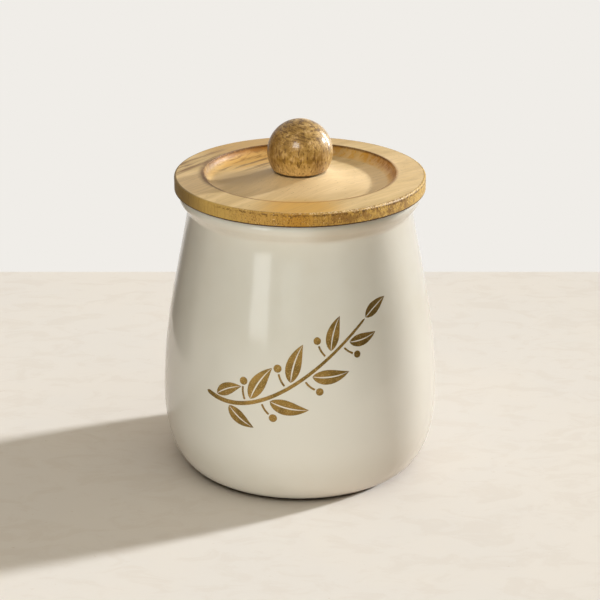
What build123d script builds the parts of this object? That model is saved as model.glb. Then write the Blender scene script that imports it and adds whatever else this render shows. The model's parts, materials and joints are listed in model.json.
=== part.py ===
"""Round glazed canister with a turned wooden lid that lifts off.

Lengths are millimetres and angles are degrees. The origin is the centre of the foot, on the surface
that the canister stands on. +Z runs up the axis that every piece is turned about, and -Y is the front.
"""

import os
from math import acos, cos, degrees, radians, sin, sqrt, tan

from build123d import *

# ---- jar: outside ---------------------------------------------------------------------------
jar_height = 116.0  # to the crest of the rim
belly_radius = 56.0  # widest point
belly_height = 28.5
heel_width = 11.5  # how far the heel curls in under the belly
neck_radius = 45.0  # narrowest point, just under the lip
neck_drop = 9.0  # neck below the rim's crest
flank_lean = 10.0  # lean of the flank where it reaches the neck
lip_flare = 3.2  # lip beyond the neck
lip_round = 2.1  # outer edge of the rim

# ---- jar: foot ------------------------------------------------------------------------------
foot_height = 1.0  # heel's flat underside above the table
heel_dip = 0.5  # the heel's curve would bottom out this far below its flat underside
heel_edge_round = 0.3
foot_inset = 3.0  # ring inside the line where the heel's curve would bottom out
foot_width = 3.5
foot_round = 0.4
foot_hollow = 2.0  # underside above the table, inside the ring

# ---- jar: inside ----------------------------------------------------------------------------
wall_thickness = 4.0
base_thickness = 4.5
inner_heel_width = 14.0
mouth_round = 1.5  # inner edge of the rim
bore_spare = 3.0  # straight bore below the lid's plug
shoulder_radius = 20.0  # bend from the bore into the flank

# ---- lid ------------------------------------------------------------------------------------
lid_gap = 0.3  # lid above the rim's crest
lid_overhang = 1.8  # lid beyond the lip
lid_edge_thickness = 5.7
lid_rim_width = 11.8  # flat band around the dish
lid_rim_rise = 0.7  # band higher at the dish than at the edge
lid_top_round = 0.7
lid_bottom_round = 0.5
dish_depth = 3.8  # also the radius of the cove around the dish
dish_edge_round = 0.3
seat_rise = 0.35  # knob's seat above the band's inner edge
seat_margin = 0.3  # seat beyond the knob's flat
seat_slope = 27.0  # fall of the dish floor where it leaves the seat
plug_depth = 8.0
plug_clearance = 1.0  # plug inside the jar's bore
plug_round = 1.0

# ---- seal -----------------------------------------------------------------------------------
groove_depth = 2.5
groove_height = 4.0
groove_drop = 1.8  # groove below the lid's underside
seal_fit = 0.15  # seal inside its groove, all round
seal_reach_clearance = 0.3  # seal's fins inside the jar's bore
fin_thickness = 0.8
fin_rise = 0.4  # fins slope up by this much towards their tips

# ---- knob -----------------------------------------------------------------------------------
knob_radius = 13.0
knob_cut = 5.1  # slice taken off the ball to make its flat
knob_edge_round = 3.0
pilot_spare = 1.0  # pilot hole beyond the screw's tip
thread_clearance = 0.05

# ---- screw ----------------------------------------------------------------------------------
screw_radius = 2.0
screw_length = 24.0
screw_tip_length = 3.0
screw_head_radius = 3.8
screw_head_land = 0.4  # cylindrical edge of the head
screw_sink = 0.3  # head below the plug's face
screw_angle = 90.0  # countersink
cross_width = 0.9
cross_length = 4.4
cross_depth = 1.6
cross_taper = 12.0

# ---- sizes that follow ----------------------------------------------------------------------
neck_height = jar_height - neck_drop
lip_radius = neck_radius + lip_flare
heel_radius = belly_radius - heel_width
heel_bottom = foot_height - heel_dip
heel_cut = degrees(acos((belly_height - foot_height) / (belly_height - heel_bottom)))
heel_edge_radius = heel_radius + heel_width * sin(radians(heel_cut))
foot_outer_radius = heel_radius - foot_inset
foot_inner_radius = foot_outer_radius - foot_width

mouth_radius = neck_radius - wall_thickness
cavity_radius = belly_radius - wall_thickness
cavity_floor = foot_hollow + base_thickness
bore_bottom = jar_height - plug_depth - bore_spare

lid_bottom = jar_height + lid_gap
lid_radius = lip_radius + lid_overhang
lid_edge_top = lid_bottom + lid_edge_thickness
lid_band_top = lid_edge_top + lid_rim_rise
dish_radius = lid_radius - lid_rim_width
dish_floor = lid_band_top - dish_depth
plug_radius = mouth_radius - plug_clearance
plug_bottom = lid_bottom - plug_depth

seat_height = lid_band_top + seat_rise
knob_flat_radius = sqrt(knob_radius**2 - (knob_radius - knob_cut) ** 2)
knob_centre = seat_height + knob_radius - knob_cut
seat_radius = knob_flat_radius + seat_margin

groove_top = lid_bottom - groove_drop
groove_radius = plug_radius - groove_depth
seal_top = groove_top - seal_fit
seal_bottom = groove_top - groove_height + seal_fit
seal_reach = mouth_radius - seal_reach_clearance
seal_band_radius = plug_radius - seal_fit

screw_head = plug_bottom + screw_sink
screw_tip = screw_head + screw_length
screw_spread = tan(radians(screw_angle / 2))  # radius that the countersink gains for each millimetre
screw_cone_length = (screw_head_radius - screw_radius) / screw_spread
sink_radius = screw_head_radius + (screw_sink + screw_head_land) * screw_spread

UP = (0, 1)
DOWN = (0, -1)
INWARD = (-1, 0)
OUTWARD = (1, 0)
FROM_BELOW = 270  # arcs that start at the bottom of their ellipse
QUARTER = 90
flank_tangent = (-sin(radians(flank_lean)), cos(radians(flank_lean)))


# ---- jar: slip-cast, with a foot ring, a full belly and a flared lip --------------------------
with BuildPart() as jar:
    with BuildSketch(Plane.XZ):
        with BuildLine():
            # Outside, from the foot ring up to the rim.
            Polyline(
                (0, foot_hollow),
                (foot_inner_radius, foot_hollow),
                (foot_inner_radius, 0),
                (foot_outer_radius, 0),
                (foot_outer_radius, foot_height),
                (heel_edge_radius, foot_height),
            )
            EllipticalCenterArc(
                (heel_radius, belly_height),
                heel_width,
                belly_height - heel_bottom,
                start_angle=FROM_BELOW + heel_cut,
                arc_size=QUARTER - heel_cut,
            )
            Spline((belly_radius, belly_height), (neck_radius, neck_height), tangents=(UP, flank_tangent))
            Spline((neck_radius, neck_height), (lip_radius, jar_height - lip_round), tangents=(flank_tangent, UP))
            JernArc((lip_radius, jar_height - lip_round), UP, lip_round, QUARTER)
            Line((lip_radius - lip_round, jar_height), (mouth_radius + mouth_round, jar_height))
            # Inside, from the rim down to the floor.
            JernArc((mouth_radius + mouth_round, jar_height), INWARD, mouth_round, QUARTER)
            bore = Line((mouth_radius, jar_height - mouth_round), (mouth_radius, bore_bottom))
            shoulder = JernArc(bore @ 1, bore % 1, shoulder_radius, flank_lean)
            Spline(shoulder @ 1, (cavity_radius, belly_height), tangents=(shoulder % 1, DOWN))
            EllipticalCenterArc(
                (cavity_radius - inner_heel_width, belly_height),
                inner_heel_width,
                belly_height - cavity_floor,
                start_angle=FROM_BELOW,
                arc_size=QUARTER,
            )
            Polyline((cavity_radius - inner_heel_width, cavity_floor), (0, cavity_floor), (0, foot_hollow))
        make_face()
    revolve(axis=Axis.Z)
    fillet(jar.edges().filter_by(GeomType.CIRCLE).group_by(Axis.Z)[0], foot_round)
    heel_edge = jar.edges().filter_by(GeomType.CIRCLE).sort_by_distance((-heel_edge_radius, 0, foot_height))[0]
    fillet(heel_edge, heel_edge_round)
jar.part.label = "jar"


# ---- lid: one turned board, dished on top and stepped down to a plug below --------------------
with BuildPart() as lid:
    with BuildSketch(Plane.XZ):
        with BuildLine():
            Line((0, plug_bottom), (plug_radius - plug_round, plug_bottom))
            JernArc((plug_radius - plug_round, plug_bottom), OUTWARD, plug_round, QUARTER)
            Polyline(
                (plug_radius, plug_bottom + plug_round),
                (plug_radius, groove_top - groove_height),
                (groove_radius, groove_top - groove_height),
                (groove_radius, groove_top),
                (plug_radius, groove_top),
                (plug_radius, lid_bottom),
                (lid_radius - lid_bottom_round, lid_bottom),
            )
            JernArc((lid_radius - lid_bottom_round, lid_bottom), OUTWARD, lid_bottom_round, QUARTER)
            Line((lid_radius, lid_bottom + lid_bottom_round), (lid_radius, lid_edge_top - lid_top_round))
            JernArc((lid_radius, lid_edge_top - lid_top_round), UP, lid_top_round, QUARTER)
            Line((lid_radius - lid_top_round, lid_edge_top), (dish_radius, lid_band_top))
            cove = JernArc((dish_radius - dish_depth, dish_floor), OUTWARD, dish_depth, QUARTER)
            Spline(
                cove @ 0,
                (seat_radius, seat_height),
                tangents=(INWARD, (-cos(radians(seat_slope)), sin(radians(seat_slope)))),
            )
            Polyline((seat_radius, seat_height), (0, seat_height), (0, plug_bottom))
        make_face()
    revolve(axis=Axis.Z)
    dish_edge = lid.edges().filter_by(GeomType.CIRCLE).sort_by_distance((-dish_radius, 0, lid_band_top))[0]
    fillet(dish_edge, dish_edge_round)
    with Locations(Plane(origin=(0, 0, plug_bottom), x_dir=(1, 0, 0), z_dir=(0, 0, -1))):
        CounterSinkHole(screw_radius + thread_clearance, sink_radius, counter_sink_angle=screw_angle)
lid.part.label = "lid"


# ---- seal: silicone ring in the plug's groove, with two fins that wipe the bore ---------------
with BuildPart() as lid_seal:
    with BuildSketch(Plane.XZ):
        Polygon(
            (groove_radius + seal_fit, seal_bottom),
            (seal_band_radius, seal_bottom),
            (seal_reach, seal_bottom + fin_rise),
            (seal_reach, seal_bottom + fin_rise + fin_thickness),
            (seal_band_radius, seal_bottom + fin_thickness),
            (seal_band_radius, seal_top - fin_rise - fin_thickness),
            (seal_reach, seal_top - fin_thickness),
            (seal_reach, seal_top),
            (seal_band_radius, seal_top - fin_rise),
            (groove_radius + seal_fit, seal_top),
            align=None,
        )
    revolve(axis=Axis.Z)
lid_seal.part.label = "lid_seal"


# ---- knob: a turned ball with a flat to sit on ------------------------------------------------
with BuildPart() as knob:
    with Locations((0, 0, knob_centre)):
        Sphere(knob_radius)
    split(bisect_by=Plane.XY.offset(seat_height), keep=Keep.TOP)
    fillet(knob.edges().filter_by(GeomType.CIRCLE).sort_by(Axis.Z)[0], knob_edge_round)
    with Locations(Plane(origin=(0, 0, seat_height), x_dir=(1, 0, 0), z_dir=(0, 0, -1))):
        Hole(screw_radius + thread_clearance, depth=screw_tip - seat_height + pilot_spare)
knob.part.label = "knob"


# ---- screw: countersunk, up through the lid into the knob -------------------------------------
with BuildPart() as knob_screw:
    with BuildSketch(Plane.XZ):
        Polygon(
            (0, screw_head),
            (screw_head_radius, screw_head),
            (screw_head_radius, screw_head + screw_head_land),
            (screw_radius, screw_head + screw_head_land + screw_cone_length),
            (screw_radius, screw_tip - screw_tip_length),
            (0, screw_tip),
            align=None,
        )
    revolve(axis=Axis.Z)
    with BuildSketch(Plane.XY.offset(screw_head)):
        Rectangle(cross_length, cross_width)
        Rectangle(cross_width, cross_length)
    extrude(amount=cross_depth, taper=cross_taper, mode=Mode.SUBTRACT)
knob_screw.part.label = "knob_screw"


os.makedirs("parts", exist_ok=True)
for piece in (jar, lid, lid_seal, knob, knob_screw):
    export_step(piece.part, f"parts/{piece.part.label}.step")
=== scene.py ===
"""Looks of the round salt canister: glaze, turned wood, seal, screw and a gilt sprig on a pale studio floor.

Everything is in metres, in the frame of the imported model: the origin is the centre of the foot, +Z is up
and -Y is the front. Patterns are worked out in millimetres, which PER_MM and the mapping nodes convert.
"""

import json
import math
from types import SimpleNamespace

import bmesh
import bpy
import numpy as np
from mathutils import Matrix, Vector

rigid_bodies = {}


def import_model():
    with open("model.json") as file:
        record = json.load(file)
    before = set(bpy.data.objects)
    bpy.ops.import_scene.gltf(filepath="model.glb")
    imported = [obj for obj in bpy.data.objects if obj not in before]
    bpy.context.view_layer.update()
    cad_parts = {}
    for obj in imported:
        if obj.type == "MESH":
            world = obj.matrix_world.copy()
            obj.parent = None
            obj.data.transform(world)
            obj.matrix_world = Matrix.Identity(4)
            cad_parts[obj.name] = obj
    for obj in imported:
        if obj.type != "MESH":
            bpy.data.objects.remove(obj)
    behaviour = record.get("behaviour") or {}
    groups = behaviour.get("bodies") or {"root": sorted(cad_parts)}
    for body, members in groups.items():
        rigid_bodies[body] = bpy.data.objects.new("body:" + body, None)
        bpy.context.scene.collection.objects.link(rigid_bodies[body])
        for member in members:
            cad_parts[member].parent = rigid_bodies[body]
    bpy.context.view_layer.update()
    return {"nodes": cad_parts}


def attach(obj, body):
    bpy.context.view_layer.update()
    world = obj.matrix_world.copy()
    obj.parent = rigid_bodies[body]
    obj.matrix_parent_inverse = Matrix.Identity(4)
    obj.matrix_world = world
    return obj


MM = 0.001
PER_MM = 1000.0  # object coordinates in metres to millimetres

# ---- camera and stage -----------------------------------------------------------------------
CAMERA_PLACE = (0.0, -0.7207, 0.3532)
CAMERA_DIP = math.radians(21.62)
CAMERA_LENS = 114.0
CAMERA_SENSOR = 36.0

FLOOR_HALF = 4.0
TABLE_END = 0.2104  # the table's far edge; beyond it the stage is a near-white backdrop


def linear(red, green, blue):
    """A colour given as 8-bit sRGB values, in linear light."""
    values = []
    for channel in (red, green, blue):
        c = channel / 255.0
        values.append(c / 12.92 if c <= 0.04045 else ((c + 0.055) / 1.055) ** 2.4)
    return (*values, 1.0)


def direction(azimuth, elevation):
    """A unit vector from the origin. Azimuth 0 is the front, -Y, and 90 degrees is the right, +X."""
    a, e = math.radians(azimuth), math.radians(elevation)
    return Vector((math.sin(a) * math.cos(e), -math.cos(a) * math.cos(e), math.sin(e)))


# ---- a short way to write node trees --------------------------------------------------------
class Nodes:
    """A node tree being written: every method adds nodes and returns the output to link on."""

    def __init__(self, owner):
        owner.use_nodes = True
        self.tree = owner.node_tree
        self.tree.nodes.clear()

    def add(self, kind, inputs=None, **settings):
        node = self.tree.nodes.new(kind)
        for name, value in settings.items():
            setattr(node, name, value)
        for name, value in (inputs or {}).items():
            socket = node.inputs[name]
            if isinstance(value, bpy.types.NodeSocket):
                self.tree.links.new(value, socket)
            else:
                socket.default_value = value
        return node

    def millimetres(self, turn=(0.0, 0.0, 0.0), shift=(0.0, 0.0, 0.0)):
        """Object coordinates in millimetres, turned and then shifted."""
        place = self.add("ShaderNodeTexCoord").outputs["Object"]
        return self.mapped(place, (PER_MM,) * 3, turn, shift)

    def mapped(self, vector, scale, turn=(0.0, 0.0, 0.0), shift=(0.0, 0.0, 0.0)):
        inputs = {"Vector": vector, "Scale": scale, "Rotation": turn, "Location": shift}
        return self.add("ShaderNodeMapping", inputs).outputs["Vector"]

    def noise(self, vector, scale, detail=3.0, rough=0.5, warp=0.0):
        inputs = {"Vector": vector, "Scale": scale, "Detail": detail, "Roughness": rough, "Distortion": warp}
        return self.add("ShaderNodeTexNoise", inputs).outputs["Fac"]

    def math(self, operation, a, b=0.0, clamp=False):
        node = self.add("ShaderNodeMath", {0: a, 1: b}, operation=operation, use_clamp=clamp)
        return node.outputs["Value"]

    def ramp(self, value, low, high, start=0.0, end=1.0):
        """A smooth step from start to end as value goes from low to high."""
        inputs = {"Value": value, "From Min": low, "From Max": high, "To Min": start, "To Max": end}
        return self.add("ShaderNodeMapRange", inputs, interpolation_type="SMOOTHSTEP").outputs["Result"]

    def mix(self, factor, first, second, mode="MIX"):
        node = self.add("ShaderNodeMix", data_type="RGBA", blend_type=mode)
        for socket, value in ((node.inputs[0], factor), (node.inputs[6], first), (node.inputs[7], second)):
            if isinstance(value, bpy.types.NodeSocket):
                self.tree.links.new(value, socket)
            else:
                socket.default_value = value
        return node.outputs[2]

    def colours(self, factor, *stops):
        """A colour ramp with stops of (position, colour)."""
        node = self.add("ShaderNodeValToRGB", {"Fac": factor})
        elements = node.color_ramp.elements
        for element, (position, colour) in zip(elements, (stops[0], stops[-1])):
            element.position, element.color = position, colour
        for position, colour in stops[1:-1]:
            elements.new(position).color = colour
        return node.outputs["Color"]

    def split(self, vector):
        node = self.add("ShaderNodeSeparateXYZ", {"Vector": vector})
        return node.outputs["X"], node.outputs["Y"], node.outputs["Z"]

    def radius(self, x, y):
        squares = self.math("ADD", self.math("MULTIPLY", x, x), self.math("MULTIPLY", y, y))
        return self.math("SQRT", squares)

    def spot(self, x, y, centre, reach):
        """1 inside an ellipse on the plan, fading to 0 at its edge."""
        u = self.math("DIVIDE", self.math("SUBTRACT", x, centre[0]), reach[0])
        v = self.math("DIVIDE", self.math("SUBTRACT", y, centre[1]), reach[1])
        return self.ramp(self.radius(u, v), 1.0, 0.35)

    def band(self, value, low, high, soft):
        """1 where value lies between low and high, fading over soft either side."""
        rise = self.ramp(value, low - soft, low + soft)
        return self.math("MULTIPLY", rise, self.ramp(value, high + soft, high - soft))

    def all_of(self, *masks):
        product = masks[0]
        for mask in masks[1:]:
            product = self.math("MULTIPLY", product, mask)
        return product

    def layer(self, colour, tone, *masks):
        """The colour with a layer of tone over it, as thick as the product of the masks."""
        return self.mix(self.all_of(*masks), colour, tone)

    def seen_directly(self):
        """1 for what the camera, reflections and refractions see, and 0 for light that bounces."""
        path = self.add("ShaderNodeLightPath").outputs
        seen = self.math("MAXIMUM", path["Is Camera Ray"], path["Is Glossy Ray"])
        return self.math("MAXIMUM", seen, path["Is Transmission Ray"])

    def bump(self, height, distance, normal=None):
        """Relief of the given height field, whose full range is distance in metres."""
        inputs = {"Height": height, "Distance": distance, "Strength": 1.0}
        if normal is not None:
            inputs["Normal"] = normal
        return self.add("ShaderNodeBump", inputs).outputs["Normal"]

    def surface(self, **inputs):
        names = {name.replace("_", " "): value for name, value in inputs.items()}
        shader = self.add("ShaderNodeBsdfPrincipled", names)
        self.add("ShaderNodeOutputMaterial", {"Surface": shader.outputs["BSDF"]})
        return shader


def new_material(name):
    material = bpy.data.materials.new(name)
    return material, Nodes(material)


# ---- glaze ----------------------------------------------------------------------------------
GLAZE = linear(229, 219, 200)
GLAZE_LIT_BELLY = linear(236, 226, 208)
GLAZE_POOLED = linear(223, 210, 187)
GLAZE_LID_SHADE = linear(190, 173, 146)
BISQUE = linear(214, 200, 180)
BISQUE_GRITTY = linear(178, 160, 138)
BISQUE_TOP = 0.35  # mm: the foot ring is wiped clean of glaze up to here


def glaze_material():
    material, n = new_material("glaze_ivory")
    place = n.millimetres()
    x, y, height = n.split(place)
    drift = n.noise(place, 0.025, detail=2.0)
    pooled = n.ramp(n.noise(place, 0.11, detail=2.0), 0.35, 0.75, 0.0, 0.35)
    colour = n.mix(pooled, GLAZE, GLAZE_POOLED)
    colour = n.layer(colour, GLAZE, n.ramp(drift, 0.3, 0.7, 0.0, 0.5))
    # Painted light: lighter on the belly than at the neck and the foot.
    colour = n.layer(colour, GLAZE_LIT_BELLY, n.ramp(height, 78.0, 50.0), n.ramp(height, 12.0, 26.0))
    # Painted shade of the lid on the lip and the groove below it at front right.
    lid_shade = n.all_of(n.ramp(height, 107.0, 109.5), n.band(x, 6.0, 34.0, 9.0), n.ramp(y, -15.0, -30.0))
    colour = n.layer(colour, GLAZE_LID_SHADE, lid_shade, 0.7)
    bare = n.ramp(height, BISQUE_TOP, 0.0)
    grit = n.noise(place, 3.0, detail=4.0)
    bisque = n.mix(n.ramp(grit, 0.3, 0.7, 0.0, 0.35), BISQUE, BISQUE_GRITTY)
    ripple = n.noise(place, 0.075, detail=1.0)
    normal = n.bump(ripple, 0.00012)
    normal = n.bump(n.math("MULTIPLY", grit, bare), 0.0001, normal)
    n.surface(
        Base_Color=n.mix(bare, colour, bisque),
        Roughness=n.ramp(bare, 0.0, 1.0, 0.11, 0.85),
        IOR=1.5,
        Normal=normal,
    )
    return material


# ---- wood -----------------------------------------------------------------------------------
HONEY_LIGHT = linear(222, 193, 144)
HONEY = linear(206, 178, 126)
HONEY_DARK = linear(188, 159, 108)
GOLDEN = linear(200, 151, 62)
PAINTED_LIGHT_PALE = linear(238, 208, 160)
CREAM = linear(238, 210, 164)
TAN = linear(184, 144, 80)
DUN_AND_SHADE = linear(164, 138, 98)
AMBER = linear(160, 106, 30)
BARK = linear(112, 76, 36)
BARK_DARK = linear(76, 46, 18)
PAINTED_SHADE_DARK = linear(52, 28, 12)
STRAW = linear(240, 218, 176)
SLOPE_GOLD = linear(204, 160, 86)
SLOPE_BROWN = linear(110, 76, 26)
VEIN_BROWN = linear(124, 84, 30)
END_GRAIN_AND_SHADE = linear(152, 94, 34)
EDGE_OLIVE = linear(176, 146, 76)
EDGE_GOLD = linear(166, 120, 36)
EDGE_MID = linear(172, 136, 66)
EDGE_TAN = linear(192, 156, 80)
KNOB_LIGHT = linear(216, 182, 126)
KNOB = linear(168, 134, 70)
KNOB_DARK = linear(132, 101, 41)
DISH_RADIUS = 38.35  # mm: the arris between the dish and the lid's band
DISH_TOP = 122.7  # its height
LID_FOOT = 116.3  # underside of the lid's edge
KNOB_FOOT = 123.05
# Broad changes of colour over the lid's plan, in millimetres: centre, reach, weight, colour; some are painted
# light or shade.
TONES = (
    ((2.0, -3.0), (33.0, 30.0), 0.80, CREAM),
    ((0.0, -46.0), (21.0, 26.0), 0.85, GOLDEN),
    ((-22.0, 38.0), (38.0, 26.0), 0.80, TAN),
    # Darker on the dish where the knob's shadow falls: wood tone and painted shade.
    ((-22.0, 1.0), (20.0, 13.0), 0.75, DUN_AND_SHADE),
    # Lighter on the band and the dish at the left, where the knob's shadow falls: painted light.
    ((-42.0, -15.0), (15.0, 20.0), 0.85, PAINTED_LIGHT_PALE),
    ((-21.0, -10.0), (15.0, 12.0), 0.20, PAINTED_LIGHT_PALE),
    # Lighter on the right, where the key light falls: painted light.
    ((46.0, 6.0), (20.0, 36.0), 0.60, HONEY_LIGHT),
    # Lighter on the dish's right, in the rim's shadow: painted light.
    ((30.0, 2.0), (13.0, 26.0), 0.70, CREAM),
    ((20.0, 47.0), (22.0, 14.0), 0.35, TAN),
)


def lid_fields(n):
    """What several layers of the lid's wood share: places in millimetres, directions of grain and noises."""
    wood = SimpleNamespace(place=n.millimetres())
    wood.x, wood.y, wood.z = n.split(wood.place)
    wood.r = n.radius(wood.x, wood.y)
    wood.grain = n.millimetres(turn=(0.0, math.radians(3.0), math.radians(-44.0)))
    wood.figure = n.millimetres(turn=(0.0, 0.0, math.radians(-51.0)))
    wood.fibres = n.noise(n.mapped(wood.grain, (0.06, 1.5, 1.5)), 1.0, detail=3.0, rough=0.6)
    along_grain = n.mapped(wood.grain, (0.035, 0.42, 0.42), shift=(0.0, 3.0, 0.0))
    wood.vein = n.noise(along_grain, 1.0, detail=3.0, rough=0.6)
    along_figure = n.mapped(wood.figure, (0.05, 0.55, 0.3), shift=(3.0, 1.0, 0.0))
    wood.lines = n.noise(along_figure, 1.0, detail=3.0, rough=0.6)
    wood.blotch = n.noise(wood.place, 0.35, detail=3.0, rough=0.6)
    wood.ragged = n.noise(wood.place, 0.9, detail=3.0, rough=0.7)
    wood.wobble = n.math("SUBTRACT", wood.ragged, 0.5)
    wood.depth = n.math("SUBTRACT", DISH_TOP, wood.z)
    wood.on_band = n.ramp(wood.r, 38.2, 38.8)
    return wood


def lid_grain(n, wood):
    """Streaks along the grain, broad changes of tone with painted light and shade, dark fibres and pores."""
    x, y = wood.x, wood.y
    streaks = n.noise(n.mapped(wood.grain, (0.02, 0.16, 0.16)), 1.0, detail=4.0, rough=0.6, warp=0.6)
    pores = n.noise(n.mapped(wood.grain, (0.30, 2.4, 2.4), shift=(7.0, 3.0, 1.0)), 1.0, detail=1.0)
    colour = n.colours(streaks, (0.28, HONEY_DARK), (0.50, HONEY), (0.74, HONEY_LIGHT))
    for centre, reach, weight, tone in TONES:
        colour = n.layer(colour, tone, n.spot(x, y, centre, reach), weight)
    colour = n.layer(colour, HONEY_DARK, n.ramp(streaks, 0.40, 0.62, 0.16, 0.0))
    drawn = n.math("ADD", 0.10, n.math("MULTIPLY", wood.on_band, 0.08))
    colour = n.layer(colour, BARK, drawn, n.ramp(wood.fibres, 0.32, 0.58, 1.0, 0.0))
    colour = n.layer(colour, BARK_DARK, n.ramp(pores, 0.70, 0.76, 0.0, 0.4))
    return colour


def far_left_figure(n, wood, colour):
    """Golden and brown streaks on the dish's far left slope, and a brown figure across the band beyond."""
    x, y, r = wood.x, wood.y, wood.r
    slope = n.all_of(n.spot(x, y, (-24.0, 25.0), (26.0, 19.0)), n.ramp(r, 38.4, 38.0))
    colour = n.layer(colour, SLOPE_GOLD, slope, n.ramp(wood.vein, 0.46, 0.56, 0.0, 0.7))
    colour = n.layer(colour, SLOPE_BROWN, slope, n.ramp(wood.vein, 0.48, 0.42, 0.0, 0.8))
    across = n.split(wood.figure)[1]
    here = n.all_of(n.band(across, 36.0, 45.5, 1.5), n.ramp(x, -29.0, -35.0), wood.on_band)
    colour = n.layer(colour, BARK, here, n.ramp(wood.lines, 0.44, 0.58, 0.1, 0.85))
    return colour


def dish_wall(n, wood, colour):
    """Golden, with veins and a ragged stain at the far left, and brown on the right wall: end grain and
    painted shade.
    """
    x, y, r = wood.x, wood.y, wood.r
    in_dish = n.ramp(r, 38.6, 38.2)
    wall = n.math("MULTIPLY", n.ramp(r, 34.0, 36.0), in_dish)
    bare = n.math("MULTIPLY", n.ramp(wood.vein, 0.40, 0.55, 0.85, 0.35), n.ramp(x, -14.0, 0.0, 0.4, 1.0))
    colour = n.layer(colour, GOLDEN, wall, n.ramp(y, -14.0, 6.0), bare)
    back_left = n.math("MULTIPLY", n.ramp(x, 2.0, -8.0), n.ramp(y, 4.0, 12.0))
    veined = n.all_of(n.ramp(r, 33.0, 35.0), in_dish, back_left)
    colour = n.layer(colour, VEIN_BROWN, veined, n.ramp(wood.lines, 0.48, 0.58, 0.05, 0.65))
    worn = n.math("ADD", wood.depth, n.math("MULTIPLY", wood.wobble, 3.0))
    stain = n.all_of(wall, n.ramp(worn, 3.2, 0.8), n.ramp(x, 6.0, -4.0), n.ramp(y, 8.0, 20.0))
    colour = n.layer(colour, AMBER, stain, 0.8)
    ends = n.noise(n.mapped(wood.place, (0.35, 1.6, 0.5)), 1.0, detail=3.0, rough=0.7)
    # Brown on the right wall, in the rim's shade: end grain and painted shade.
    brown = n.all_of(n.ramp(r, 34.6, 37.6), n.ramp(r, 39.6, 38.4), n.ramp(x, 24.0, 35.0))
    colour = n.layer(colour, END_GRAIN_AND_SHADE, brown, n.ramp(ends, 0.30, 0.66, 0.25, 0.85))
    return colour


def dish_arris(n, wood, colour):
    """Dish to band: ragged at the far left, soft and brown with painted shade at the left, thin in front."""
    x, y, r = wood.x, wood.y, wood.r
    far_left = n.all_of(n.ramp(y, 8.0, 18.0), n.ramp(x, 6.0, -6.0))
    off = n.math("SUBTRACT", r, DISH_RADIUS)
    wander = n.math("MULTIPLY", wood.wobble, n.math("ADD", 0.9, far_left))
    off = n.math("ABSOLUTE", n.math("ADD", off, wander))
    line = n.all_of(n.ramp(off, 0.55, 0.12), n.ramp(wood.depth, 1.2, 0.5), n.ramp(y, 6.0, 18.0))
    colour = n.layer(colour, BARK_DARK, line, 0.75)
    wide = n.ramp(off, 1.3, 0.5)
    left_front = n.all_of(wide, n.ramp(x, -6.0, -20.0), n.ramp(y, 4.0, -4.0))
    colour = n.layer(colour, BARK, left_front, 0.7)
    front = n.all_of(wide, n.ramp(y, -26.0, -34.0), n.ramp(x, -20.0, -8.0))
    colour = n.layer(colour, AMBER, front, 0.6)
    side = n.all_of(wide, n.ramp(x, 12.0, 24.0), n.ramp(y, -4.0, -14.0))
    colour = n.layer(colour, BARK, side, 0.5)
    # Painted shade along the band's inner edge at the left end.
    shade = n.all_of(n.band(r, 37.0, 40.0, 1.2), n.ramp(x, -26.0, -32.0), n.band(y, -18.0, 15.0, 4.0))
    colour = n.layer(colour, BARK, shade, n.ramp(wood.blotch, 0.3, 0.6, 0.5, 0.8))
    return colour


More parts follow.
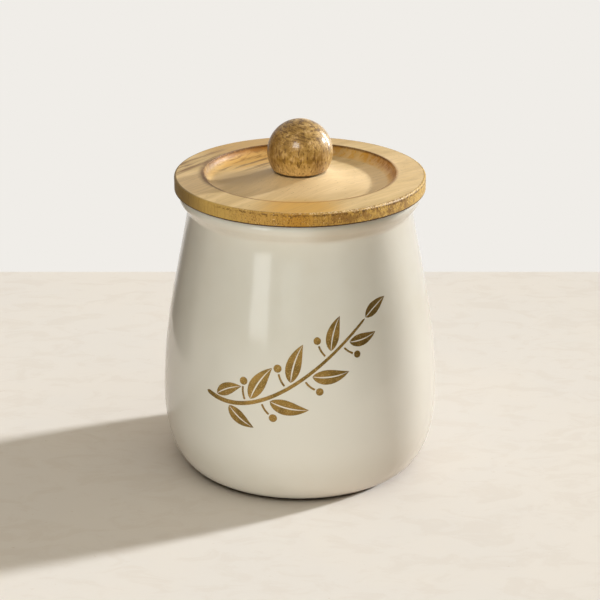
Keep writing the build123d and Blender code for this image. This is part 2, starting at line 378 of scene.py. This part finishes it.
def outer_edge(n, wood, colour):
    """Smooth and olive on the left, golden in front, rough and speckled to the right."""
    x, z, r = wood.x, wood.z, wood.r
    edge = n.ramp(r, 49.0, 49.4)
    upright = n.noise(n.mapped(wood.place, (1.5, 1.5, 0.10)), 1.0, detail=3.0, rough=0.6)
    specks = n.noise(n.mapped(wood.place, (1.9, 1.9, 1.1)), 1.0, detail=2.0, rough=0.7)
    glints = n.noise(n.millimetres(shift=(40.0, 10.0, 5.0)), 1.5, detail=2.0)
    tone = n.mix(n.ramp(x, -30.0, -14.0), EDGE_OLIVE, EDGE_MID)
    tone = n.layer(tone, EDGE_GOLD, n.band(x, -6.0, 4.0, 5.0), 0.8)
    tone = n.layer(tone, EDGE_TAN, n.ramp(x, 8.0, 26.0))
    colour = n.layer(colour, tone, edge, 0.92)
    rough_part = n.math("MULTIPLY", edge, n.ramp(x, -34.0, -14.0, 0.2, 1.0))
    right_part = n.all_of(edge, n.ramp(x, 4.0, 16.0), n.ramp(x, 46.0, 40.0))
    colour = n.layer(colour, BARK, edge, n.ramp(upright, 0.50, 0.68, 0.0, 0.35))
    colour = n.layer(colour, BARK_DARK, rough_part, n.ramp(specks, 0.52, 0.64, 0.0, 0.7))
    colour = n.layer(colour, BARK, right_part, n.ramp(wood.blotch, 0.42, 0.60, 0.05, 0.65))
    # Pale specks on the rough part: painted glints.
    colour = n.layer(colour, STRAW, rough_part, n.ramp(glints, 0.64, 0.72, 0.0, 0.4))
    # The left end is darkened: partly shade that is painted in.
    colour = n.layer(colour, PAINTED_SHADE_DARK, edge, n.ramp(x, -34.0, -46.0, 0.0, 0.6))
    ridge = n.math("ADD", z, n.math("MULTIPLY", n.math("SUBTRACT", wood.blotch, 0.5), 1.6))
    ridge_line = n.band(ridge, 120.7, 121.4, 0.25)
    flecked = n.all_of(ridge_line, edge, n.ramp(x, -36.0, -26.0), n.ramp(wood.ragged, 0.45, 0.53))
    colour = n.layer(colour, BARK_DARK, flecked, 0.75)
    # Painted highlight: a pale broken line along the top arris towards the right.
    broken_highlight = n.math("MULTIPLY", n.ramp(x, -14.0, 12.0), n.ramp(glints, 0.46, 0.58))
    arris = n.all_of(n.ramp(r, 48.7, 49.2), n.ramp(z, 121.4, 121.7), broken_highlight, n.ramp(x, 48.0, 43.0))
    colour = n.layer(colour, STRAW, arris, 0.5)
    # Painted shade: a near-black line at the foot of the edge, where the lid sits on the jar.
    foot = n.math("MULTIPLY", n.ramp(r, 47.0, 48.0), n.ramp(z, LID_FOOT + 0.75, LID_FOOT + 0.5))
    colour = n.layer(colour, PAINTED_SHADE_DARK, foot, 0.95)
    return colour, n.math("MULTIPLY", specks, rough_part)


def wood_material():
    """Light honey wood: fine grain, golden patches, stained turned arrises and a speckled outer edge."""
    material, n = new_material("honey_wood")
    wood = lid_fields(n)
    colour = lid_grain(n, wood)
    for paint in (far_left_figure, dish_wall, dish_arris):
        colour = paint(n, wood, colour)
    colour, roughened = outer_edge(n, wood, colour)
    relief = n.math("ADD", n.math("MULTIPLY", wood.fibres, 0.25), roughened)
    n.surface(
        Base_Color=colour,
        Roughness=n.ramp(wood.fibres, 0.3, 0.7, 0.46, 0.58),
        Specular_IOR_Level=0.35,
        Normal=n.bump(relief, 0.00016),
    )
    return material


def knob_material():
    """Darker lacquered wood: brown bands near the top, short dark flecks lower down, paler at upper right."""
    material, n = new_material("flecked_knob_wood")
    place = n.millimetres()
    x, _, z = n.split(place)
    fibres = n.noise(n.mapped(place, (1.8, 1.8, 0.14)), 1.0, detail=3.0, rough=0.6)
    flecks = n.noise(n.mapped(place, (1.1, 1.1, 0.36), shift=(3.0, 8.0, 2.0)), 1.0, detail=2.0, rough=0.6)
    mottle = n.noise(place, 0.35, detail=4.0, rough=0.65)
    tilted = n.millimetres(turn=(0.0, math.radians(-14.0), 0.0))
    band = n.noise(n.mapped(tilted, (0.42, 0.42, 1.5), shift=(0.0, 5.0, 0.0)), 1.0, detail=4.0, rough=0.7)
    high = n.ramp(z, 134.0, 140.0)
    colour = n.colours(mottle, (0.30, KNOB_DARK), (0.50, KNOB), (0.72, KNOB_LIGHT))
    # Painted light: lighter lower down, towards the foot.
    colour = n.layer(colour, KNOB_LIGHT, n.ramp(z, 131.0, 125.0, 0.0, 0.6))
    pale = n.all_of(n.ramp(x, 1.0, 8.0), n.ramp(z, 131.0, 136.0))
    colour = n.layer(colour, KNOB_LIGHT, pale, 0.2)
    colour = n.layer(colour, BARK, n.ramp(fibres, 0.34, 0.56, 0.45, 0.0))
    colour = n.layer(colour, BARK_DARK, high, n.ramp(band, 0.47, 0.60, 0.0, 0.75))
    low = n.math("SUBTRACT", 1.0, n.math("MULTIPLY", high, 0.7))
    colour = n.layer(colour, BARK_DARK, low, n.ramp(flecks, 0.54, 0.64, 0.0, 0.64))
    # The left side and the lower right are partly shade that is painted in; the dark line at the foot is
    # painted shade.
    colour = n.layer(colour, BARK, n.ramp(x, -5.0, -12.5, 0.0, 0.55))
    low_right = n.all_of(n.band(x, 5.5, 10.5, 2.5), n.ramp(z, 136.0, 132.0))
    colour = n.layer(colour, BARK, low_right, 0.5)
    colour = n.layer(colour, PAINTED_SHADE_DARK, n.ramp(z, KNOB_FOOT + 1.3, KNOB_FOOT + 0.5, 0.0, 0.9))
    n.surface(
        Base_Color=colour,
        Roughness=0.5,
        Specular_IOR_Level=0.1,
        Coat_Weight=0.35,
        Coat_Roughness=0.16,
        Normal=n.bump(fibres, 0.00008),
    )
    return material


# ---- seal, screw and gilding ----------------------------------------------------------------
SILICONE = linear(228, 228, 224)
SILICONE_DULL = linear(214, 215, 211)
STEEL = linear(196, 195, 190)
STEEL_DULL = linear(150, 148, 140)
TURNING_MARKS = 34.0  # radians for each millimetre outwards
GILT_DARK = linear(122, 96, 46)
GILT = linear(154, 122, 64)
GILT_GLINT = linear(212, 182, 120)


def silicone_material():
    material, n = new_material("translucent_silicone")
    place = n.millimetres()
    cloud = n.noise(place, 0.12, detail=2.0)
    grain = n.noise(place, 2.5, detail=2.0)
    n.surface(
        Base_Color=n.mix(n.ramp(cloud, 0.3, 0.7), SILICONE, SILICONE_DULL),
        Roughness=n.ramp(grain, 0.3, 0.7, 0.34, 0.48),
        Subsurface_Weight=0.5,
        Subsurface_Radius=(0.002, 0.002, 0.002),
        Normal=n.bump(grain, 0.00003),
    )
    return material


def steel_material():
    material, n = new_material("zinc_steel")
    place = n.millimetres()
    x, y = n.split(place)[:2]
    rings = n.math("SINE", n.math("MULTIPLY", n.radius(x, y), TURNING_MARKS))
    tarnish = n.noise(place, 0.9, detail=4.0)
    n.surface(
        Base_Color=n.mix(n.ramp(tarnish, 0.35, 0.7), STEEL, STEEL_DULL),
        Metallic=1.0,
        Roughness=n.ramp(tarnish, 0.3, 0.7, 0.22, 0.4),
        Normal=n.bump(rings, 0.00001),
    )
    return material


def gold_material():
    material, n = new_material("gilt")
    place = n.millimetres()
    glitter = n.noise(place, 2.2, detail=3.0, rough=0.7)
    cloud = n.noise(place, 0.16, detail=2.0)
    colour = n.mix(n.ramp(cloud, 0.35, 0.65), GILT_DARK, GILT)
    n.surface(
        Base_Color=n.mix(n.ramp(glitter, 0.52, 0.70, 0.0, 0.7), colour, GILT_GLINT),
        Metallic=0.9,
        Roughness=n.ramp(glitter, 0.3, 0.7, 0.5, 0.3),
        Normal=n.bump(glitter, 0.00012),
    )
    return material


# ---- gilt sprig on the jar's front ----------------------------------------------------------
# Drawn on the unrolled jar in millimetres: (arc length to the right of the front, height).
SPRIG_GIRTH_RADIUS = 54.5  # where the drawing is true to scale
SPRIG_LIFT = 0.05  # outer face above the glaze
SPRIG_SINK = 0.12  # inner face below it
STEM = ((-39.0, 46.5), (-17.0, 36.5), (6.0, 60.5), (28.0, 77.5))  # Bézier handles
STEM_WIDTHS = (1.9, 1.0)
STEM_STEPS = 90
LEAF_STEPS = 22
LEAF_CURL = -30.0  # degrees that a leaf bends back towards the stem
VEIN_SHARE = 0.10  # bare line down a leaf's middle, as a share of the leaf's width
CLEAR = 0.5  # bare gap between pieces of the drawing
COLUMNS = 4  # faces across a stroke
# Each leaf: place along the stem, side, angle to the stem in degrees, length, width.
LEAVES = (
    (0.07, 1, 54.0, 12.0, 5.0),
    (0.16, -1, 50.0, 13.0, 5.2),
    (0.30, 1, 56.0, 16.0, 6.2),
    (0.40, -1, 52.0, 15.5, 6.0),
    (0.54, 1, 54.0, 16.0, 6.0),
    (0.64, -1, 48.0, 15.0, 5.8),
    (0.78, 1, 48.0, 14.0, 5.4),
    (0.87, -1, 44.0, 12.5, 4.8),
)
TIP_LEAF = (12.5, 4.8)  # length, width
# Each berry: place along the stem, side, angle, stalk length, radius.
BERRIES = (
    (0.265, 1, 102.0, 5.5, 1.6),
    (0.355, -1, 92.0, 5.0, 1.6),
    (0.505, 1, 100.0, 5.5, 1.6),
    (0.60, -1, 92.0, 5.0, 1.5),
    (0.745, 1, 98.0, 5.0, 1.5),
    (0.835, -1, 90.0, 4.5, 1.4),
)
STALK_WIDTH = 0.8
SAME_POINT = 1e-4  # millimetres: a row shorter than this is one point
SHARP_FROM = math.radians(40.0)


def turned(vector, degrees):
    """A drawing vector turned to the left."""
    a = math.radians(degrees)
    c, s = math.cos(a), math.sin(a)
    return Vector((vector.x * c - vector.y * s, vector.x * s + vector.y * c))


def stem_station(t):
    """Point and unit tangent of the stem."""
    p0, p1, p2, p3 = (Vector(p) for p in STEM)
    s = 1.0 - t
    point = s**3 * p0 + 3 * s * s * t * p1 + 3 * s * t * t * p2 + t**3 * p3
    slope = s * s * (p1 - p0) + 2 * s * t * (p2 - p1) + t * t * (p3 - p2)
    return point, slope.normalized()


def arc(start, heading, length, curl, steps):
    """Points and tangents along an arc that turns left by curl degrees."""
    stations, point = [], start.copy()
    for i in range(steps + 1):
        stations.append((point.copy(), turned(heading, curl * i / steps)))
        point += turned(heading, curl * (i + 0.5) / steps) * (length / steps)
    return stations


def stroke(stations, low, high):
    """Rows of drawing points across a stroke, from offset low(t) to high(t) left of its line."""
    rows = []
    for i, (point, tangent) in enumerate(stations):
        t = i / (len(stations) - 1)
        left = turned(tangent, 90.0)
        a, b = low(t), high(t)
        rows.append([point + left * (a + (b - a) * j / COLUMNS) for j in range(COLUMNS + 1)])
    return rows


def round_ended(width):
    """Half the width of a stroke that runs out in round ends."""
    return lambda t: width(t) / 2 * math.sqrt(max(0.0, 1.0 - abs(2 * t - 1) ** 40))


def half_circle(radius):
    """Half the width of a round stroke, for stations spaced by equal angles."""
    return lambda t: radius * max(0.0, math.sin(math.pi * t))


def leaf_strokes(stations, width):
    """The two halves of a leaf, either side of its vein."""

    def half(t):
        return width / 2 * max(0.0, math.sin(math.pi * t**0.75)) ** 0.9

    for side in (1, -1):
        yield stroke(stations, lambda t: side * VEIN_SHARE * half(t), lambda t: side * half(t))


def sprig_strokes():
    stem = [stem_station(i / STEM_STEPS) for i in range(STEM_STEPS + 1)]
    thick, thin = STEM_WIDTHS
    half = round_ended(lambda t: thick + (thin - thick) * t)
    yield stroke(stem, lambda t: -half(t), half)
    for place, side, angle, length, width in LEAVES:
        point, tangent = stem_station(place)
        heading = turned(tangent, side * angle)
        start = point + turned(tangent, side * 90.0) * (thick / 2 + CLEAR)
        yield from leaf_strokes(arc(start, heading, length, side * LEAF_CURL, LEAF_STEPS), width)
    point, tangent = stem[-1]
    length, width = TIP_LEAF
    yield from leaf_strokes(arc(point + tangent * CLEAR, tangent, length, LEAF_CURL / 2, LEAF_STEPS), width)
    for place, side, angle, length, radius in BERRIES:
        point, tangent = stem_station(place)
        heading = turned(tangent, side * angle)
        start = point + turned(tangent, side * 90.0) * (thick / 2 + CLEAR)
        stalk = arc(start, heading, length, side * LEAF_CURL, LEAF_STEPS)
        half = round_ended(lambda t: STALK_WIDTH)
        yield stroke(stalk, lambda t: -half(t), half)
        end, tangent = stalk[-1]
        centre = end + tangent * (CLEAR + radius)
        across = [
            (centre - tangent * radius * math.cos(math.pi * i / LEAF_STEPS), tangent)
            for i in range(LEAF_STEPS + 1)
        ]
        half = half_circle(radius)
        yield stroke(across, lambda t: -half(t), half)


def jar_outline():
    """Heights and outer radii of the jar's wall, from its vertices that face outwards."""
    rings = {}
    for vertex in frame["nodes"]["jar"].data.vertices:
        x, y, z = vertex.co
        if vertex.normal.x * x + vertex.normal.y * y > 0.0:
            height = round(z / MM, 3)
            rings[height] = max(rings.get(height, 0.0), math.hypot(x, y) / MM)
    heights = sorted(rings)
    return heights, [rings[height] for height in heights]


def add_sheet(bm, rows, place):
    """A thin closed sheet over a stroke; place(point, lift) sets a drawing point on the jar."""
    faces = []
    sides = []
    for lift in (SPRIG_LIFT, -SPRIG_SINK):
        grid = []
        for row in rows:
            if (row[0] - row[-1]).length < SAME_POINT:
                grid.append([bm.verts.new(place(row[0], lift))] * len(row))
            else:
                grid.append([bm.verts.new(place(point, lift)) for point in row])
        sides.append(grid)
    outer, inner = sides
    ends, last = len(rows) - 1, COLUMNS
    for i in range(ends):
        for j in range(last):
            quad = ((i, j), (i, j + 1), (i + 1, j + 1), (i + 1, j))
            faces.append([outer[a][b] for a, b in quad])
            faces.append([inner[a][b] for a, b in reversed(quad)])
    rim = [(0, j) for j in range(last)] + [(i, last) for i in range(ends)]
    rim += [(ends, j) for j in range(last, 0, -1)] + [(i, 0) for i in range(ends, 0, -1)]
    for (a, b), (c, d) in zip(rim, rim[1:] + rim[:1]):
        faces.append([outer[a][b], inner[a][b], inner[c][d], outer[c][d]])
    for corners in faces:
        corners = list(dict.fromkeys(corners))
        if len(corners) > 2:
            bm.faces.new(corners)


def add_sprig():
    heights, radii = jar_outline()

    def place(point, lift):
        azimuth = point.x / SPRIG_GIRTH_RADIUS
        slope = np.interp(point.y + 0.5, heights, radii) - np.interp(point.y - 0.5, heights, radii)
        normal = Vector((1.0, -slope)).normalized()
        radius = np.interp(point.y, heights, radii) + normal.x * lift
        height = point.y + normal.y * lift
        return Vector((math.sin(azimuth) * radius, -math.cos(azimuth) * radius, height)) * MM

    bm = bmesh.new()
    for rows in sprig_strokes():
        add_sheet(bm, rows, place)
    bmesh.ops.recalc_face_normals(bm, faces=bm.faces)
    mesh = bpy.data.meshes.new("gilt_sprig")
    bm.to_mesh(mesh)
    bm.free()
    mesh.shade_smooth()
    mesh.set_sharp_from_angle(angle=SHARP_FROM)
    mesh.materials.append(gold_material())
    sprig = bpy.data.objects.new("gilt_sprig", mesh)
    bpy.context.scene.collection.objects.link(sprig)
    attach(sprig, "jar")


# ---- floor, backdrop, light and camera ------------------------------------------------------
STONE = linear(231, 227, 222)
STONE_CLOUD = linear(235, 229, 221)
STONE_FLAKE = linear(221, 213, 204)
STONE_PIT = linear(205, 192, 176)
BACKDROP = linear(240, 237, 232)
FLOOR_BOUNCE = (0.62, 0.53, 0.49, 1.0)  # share of the seen colour that bounces onto the object

LAMP_AIM = Vector((0.0, 0.0, 0.06))
# Distant lamps: azimuth, elevation, strength, angular size, colour, whether they show in reflections.
KEY = (112.0, 18.0, 5.1, 5.0, (0.96, 0.98, 1.0), True)
JAR_KEY = (130.0, 18.0, 3.3, 3.5, (0.875, 0.94, 1.0), True)  # further behind: a wide soft shade
# A soft beam for the jar's right flank: azimuth, distance, width, height, spread, power.
BEAM = (71.0, 0.4, 0.035, 0.17, 4.5, 0.0067)
BACK = (-150.0, 15.0, 0.4, 40.0, (1.0, 0.975, 0.945), False)
TOP = (0.0, 90.0, 1.6, 90.0, (1.0, 0.91, 0.76), False)
# Soft disks in front, for the jar and for the rest: azimuth, elevation, distance, size, power, colour.
JAR_FRONT = (-8.0, 8.0, 0.6, 0.2, 1.95, (0.88, 0.98, 1.0))
FRONT = (-10.0, 8.0, 0.6, 0.2, 2.2, (1.0, 0.93, 0.72))
# Panels that only reflect: azimuth, elevation, distance, width, height, power, and the pieces they show on.
PANELS = (
    (131.0, 10.5, 0.6, 0.11, 0.28, 3.2, ("knob",)),
    (-17.0, 36.0, 0.6, 0.20, 0.20, 2.7, ("knob",)),
    (165.0, 2.0, 0.6, 0.25, 0.30, 0.14, ("knob", "jar")),
)
PANEL_COLOUR = (1.0, 1.0, 1.0)
KNOB_MIDDLE = Vector((0.0, 0.0, 0.131))
STRIP_AZIMUTH = -35.0
STRIP_DISTANCE = 0.7
STRIP_FOOT = 0.025
STRIP_HEIGHT = 1.6
STRIP_WIDTH = 0.2
STRIP_POWER = 3.1
STRIP_COLOUR = (0.95, 0.98, 1.0)
CARDS = ((-140.0, -95.0), (38.0, 84.0))  # azimuths that the dark cards span
CARD_GREY = (0.03, 0.03, 0.03, 1.0)
CARD_STEPS = 12
CARD_DISTANCE = 0.22
CARD_HEIGHT = 0.3
CARD_FADE = 9.0  # half the angle over which each end fades out
CARD_SOLID_TO = 200.0  # height in millimetres where the fade to the top starts
AMBIENT = 0.02
AMBIENT_COLOUR = (1.0, 0.9, 0.72, 1.0)


def floor_material():
    """Cream stone up to the table's end and a near-white backdrop beyond it.

    What bounces off it onto the object is dimmer than what the camera and reflections see.
    """
    material, n = new_material("stage_floor")
    place = n.millimetres()
    y = n.split(place)[1]
    cloud = n.noise(place, 0.012, detail=5.0, rough=0.6)
    stone = n.mix(n.ramp(cloud, 0.35, 0.65, 0.0, 0.5), STONE, STONE_CLOUD)
    flakes = n.noise(n.mapped(place, (0.05, 0.09, 0.05)), 1.0, detail=6.0, rough=0.65, warp=0.8)
    stone = n.layer(stone, STONE_FLAKE, n.ramp(flakes, 0.48, 0.62, 0.0, 0.30))
    pits = n.noise(n.mapped(place, (0.16, 0.30, 0.16), shift=(9.0, 2.0, 0.0)), 1.0, detail=4.0, rough=0.7)
    stone = n.layer(stone, STONE_PIT, n.ramp(pits, 0.67, 0.72, 0.0, 0.45))
    dim = n.mix(1.0, stone, FLOOR_BOUNCE, mode="MULTIPLY")
    seen = n.seen_directly()
    inputs = {"Base Color": n.mix(seen, dim, stone), "Roughness": 0.6, "Specular IOR Level": 0.0}
    shader = n.add("ShaderNodeBsdfPrincipled", inputs)
    backdrop = n.add("ShaderNodeEmission", {"Color": n.mix(seen, (0, 0, 0, 1), BACKDROP), "Strength": 1.0})
    beyond = n.ramp(y, TABLE_END / MM - 1.0, TABLE_END / MM + 1.0)
    both = n.add("ShaderNodeMixShader", {0: beyond, 1: shader.outputs[0], 2: backdrop.outputs[0]})
    n.add("ShaderNodeOutputMaterial", {"Surface": both.outputs[0]})
    return material


def add_floor():
    mesh = bpy.data.meshes.new("stage_floor")
    s = FLOOR_HALF
    mesh.from_pydata([(-s, -s, 0), (s, -s, 0), (s, s, 0), (-s, s, 0)], [], [(0, 1, 2, 3)])
    mesh.materials.append(floor_material())
    floor = bpy.data.objects.new("stage_floor", mesh)
    bpy.context.scene.collection.objects.link(floor)


def add_cards():
    """Dark curved cards either side of the camera's view. Only reflections meet them, and their ends fade."""
    for number, (start, end) in enumerate(CARDS):
        material, n = new_material(f"stage_card_{number}")
        x, y, z = n.split(n.millimetres())
        azimuth = n.math("DEGREES", n.math("ARCTAN2", x, n.math("MULTIPLY", y, -1.0)))
        below_top = n.ramp(z, CARD_HEIGHT * PER_MM, CARD_SOLID_TO)
        solid = n.math("MULTIPLY", n.band(azimuth, start, end, CARD_FADE), below_top)
        n.surface(Base_Color=CARD_GREY, Roughness=0.9, Alpha=solid)
        first, span = start - CARD_FADE, end - start + 2 * CARD_FADE
        azimuths = [first + span * i / CARD_STEPS for i in range(CARD_STEPS + 1)]
        feet = [CARD_DISTANCE * direction(azimuth, 0.0) for azimuth in azimuths]
        tops = [foot + Vector((0.0, 0.0, CARD_HEIGHT)) for foot in feet]
        faces = [(i, i + 1, CARD_STEPS + i + 2, CARD_STEPS + i + 1) for i in range(CARD_STEPS)]
        mesh = bpy.data.meshes.new(f"stage_card_{number}")
        mesh.from_pydata(feet + tops, [], faces)
        mesh.materials.append(material)
        card = bpy.data.objects.new(f"stage_card_{number}", mesh)
        card.visible_camera = False
        card.visible_shadow = False
        card.visible_diffuse = False
        bpy.context.scene.collection.objects.link(card)


def add_light(name, kind, place, aim, energy, colour, **settings):
    """A lamp at place that points at aim."""
    lamp = bpy.data.lights.new(name, kind)
    lamp.energy = energy
    lamp.color = colour
    for key, value in settings.items():
        setattr(lamp, key, value)
    holder = bpy.data.objects.new(name, lamp)
    holder.location = place
    holder.rotation_euler = (aim - place).to_track_quat("-Z", "Y").to_euler()
    holder.visible_camera = False
    bpy.context.scene.collection.objects.link(holder)
    return holder


def light_only(lamp, receivers):
    """Limits a lamp to the objects given."""
    group = bpy.data.collections.new(f"{lamp.name}_receivers")
    for receiver in receivers:
        group.objects.link(receiver)
    lamp.light_linking.receiver_collection = group


def add_suns(meshes, stage, jar_pieces):
    """Distant lamps. The jar has a key of its own; the stage and the jar are each left out of one fill."""
    for name, lamp, left_out in (
        ("key", KEY, jar_pieces),
        ("jar_key", JAR_KEY, [piece for piece in meshes if piece not in jar_pieces]),
        ("back", BACK, stage),
        ("top", TOP, jar_pieces),
    ):
        azimuth, elevation, strength, angle, colour, glossy = lamp
        place = LAMP_AIM + direction(azimuth, elevation)
        sun = add_light(name, "SUN", place, LAMP_AIM, strength, colour, angle=math.radians(angle))
        sun.visible_glossy = glossy
        light_only(sun, [piece for piece in meshes if piece not in left_out])


def add_front_disks(others, jar_pieces):
    """A soft disk in front for the jar and another for the wood, the seal and the screw."""
    for name, disk, lit in (("jar_front", JAR_FRONT, jar_pieces), ("front", FRONT, others)):
        azimuth, elevation, distance, size, power, colour = disk
        place = LAMP_AIM + distance * direction(azimuth, elevation)
        front = add_light(name, "AREA", place, LAMP_AIM, power, colour, shape="DISK", size=size)
        front.visible_glossy = False
        light_only(front, lit)


def add_beam(jar_pieces):
    """A narrow soft beam in the colour and at the elevation of the jar's key."""
    _, elevation, _, _, colour, _ = JAR_KEY
    azimuth, distance, width, tall, spread, power = BEAM
    place = LAMP_AIM + distance * direction(azimuth, elevation)
    shape = {"shape": "RECTANGLE", "size": width, "size_y": tall, "spread": math.radians(spread)}
    beam = add_light("beam", "AREA", place, LAMP_AIM, power, colour, **shape)
    beam.visible_glossy = False
    light_only(beam, jar_pieces)


def add_panels():
    """Panels that only reflect, each on the pieces that it names."""
    for number, panel in enumerate(PANELS):
        azimuth, elevation, distance, width, tall, power, names = panel
        place = KNOB_MIDDLE + distance * direction(azimuth, elevation)
        shape = {"shape": "RECTANGLE", "size": width, "size_y": tall}
        lamp = add_light(f"panel_{number}", "AREA", place, KNOB_MIDDLE, power, PANEL_COLOUR, **shape)
        lamp.visible_diffuse = False
        light_only(lamp, [frame["nodes"][name] for name in names])


def add_window(meshes):
    """A tall window strip that only reflects, on everything but the knob."""
    middle = Vector((0.0, 0.0, STRIP_FOOT + STRIP_HEIGHT / 2))
    place = middle + STRIP_DISTANCE * direction(STRIP_AZIMUTH, 0.0)
    shape = {"shape": "RECTANGLE", "size": STRIP_WIDTH, "size_y": STRIP_HEIGHT}
    window = add_light("window_strip", "AREA", place, middle, STRIP_POWER, STRIP_COLOUR, **shape)
    window.visible_diffuse = False
    light_only(window, [piece for piece in meshes if piece != frame["nodes"]["knob"]])


def add_lights():
    """All the lamps, each with the pieces that it lights or shows on."""
    meshes = [piece for piece in bpy.data.objects if piece.type == "MESH"]
    stage = [piece for piece in meshes if piece.name.startswith("stage_")]
    jar_pieces = [frame["nodes"]["jar"], bpy.data.objects["gilt_sprig"]]
    add_suns(meshes, stage, jar_pieces)
    add_front_disks([piece for piece in meshes if piece not in stage + jar_pieces], jar_pieces)
    add_beam(jar_pieces)
    add_panels()
    add_window(meshes)


def add_world():
    """Dim warm light all round, behind what the camera and reflections see as a near-white backdrop."""
    world = bpy.data.worlds.new("studio")
    bpy.context.scene.world = world
    n = Nodes(world)
    seen = n.seen_directly()
    colour = n.mix(seen, AMBIENT_COLOUR, BACKDROP)
    strength = n.math("ADD", n.math("MULTIPLY", seen, 1.0 - AMBIENT), AMBIENT)
    background = n.add("ShaderNodeBackground", {"Color": colour, "Strength": strength})
    n.add("ShaderNodeOutputWorld", {"Surface": background.outputs[0]})


def add_camera():
    lens = bpy.data.cameras.new("camera")
    lens.lens = CAMERA_LENS
    lens.sensor_width = CAMERA_SENSOR
    camera = bpy.data.objects.new("camera", lens)
    camera.location = CAMERA_PLACE
    camera.rotation_euler = (math.pi / 2 - CAMERA_DIP, 0.0, 0.0)
    bpy.context.scene.collection.objects.link(camera)
    bpy.context.scene.camera = camera


for leftover in list(bpy.data.objects):
    bpy.data.objects.remove(leftover)
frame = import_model()

FINISHES = {
    "jar": glaze_material,
    "lid": wood_material,
    "knob": knob_material,
    "lid_seal": silicone_material,
    "knob_screw": steel_material,
}
for name, finish in FINISHES.items():
    frame["nodes"][name].material_slots[0].material = finish()

add_sprig()
add_floor()
add_cards()
add_lights()
add_world()
add_camera()

bpy.context.scene.view_settings.view_transform = "Standard"
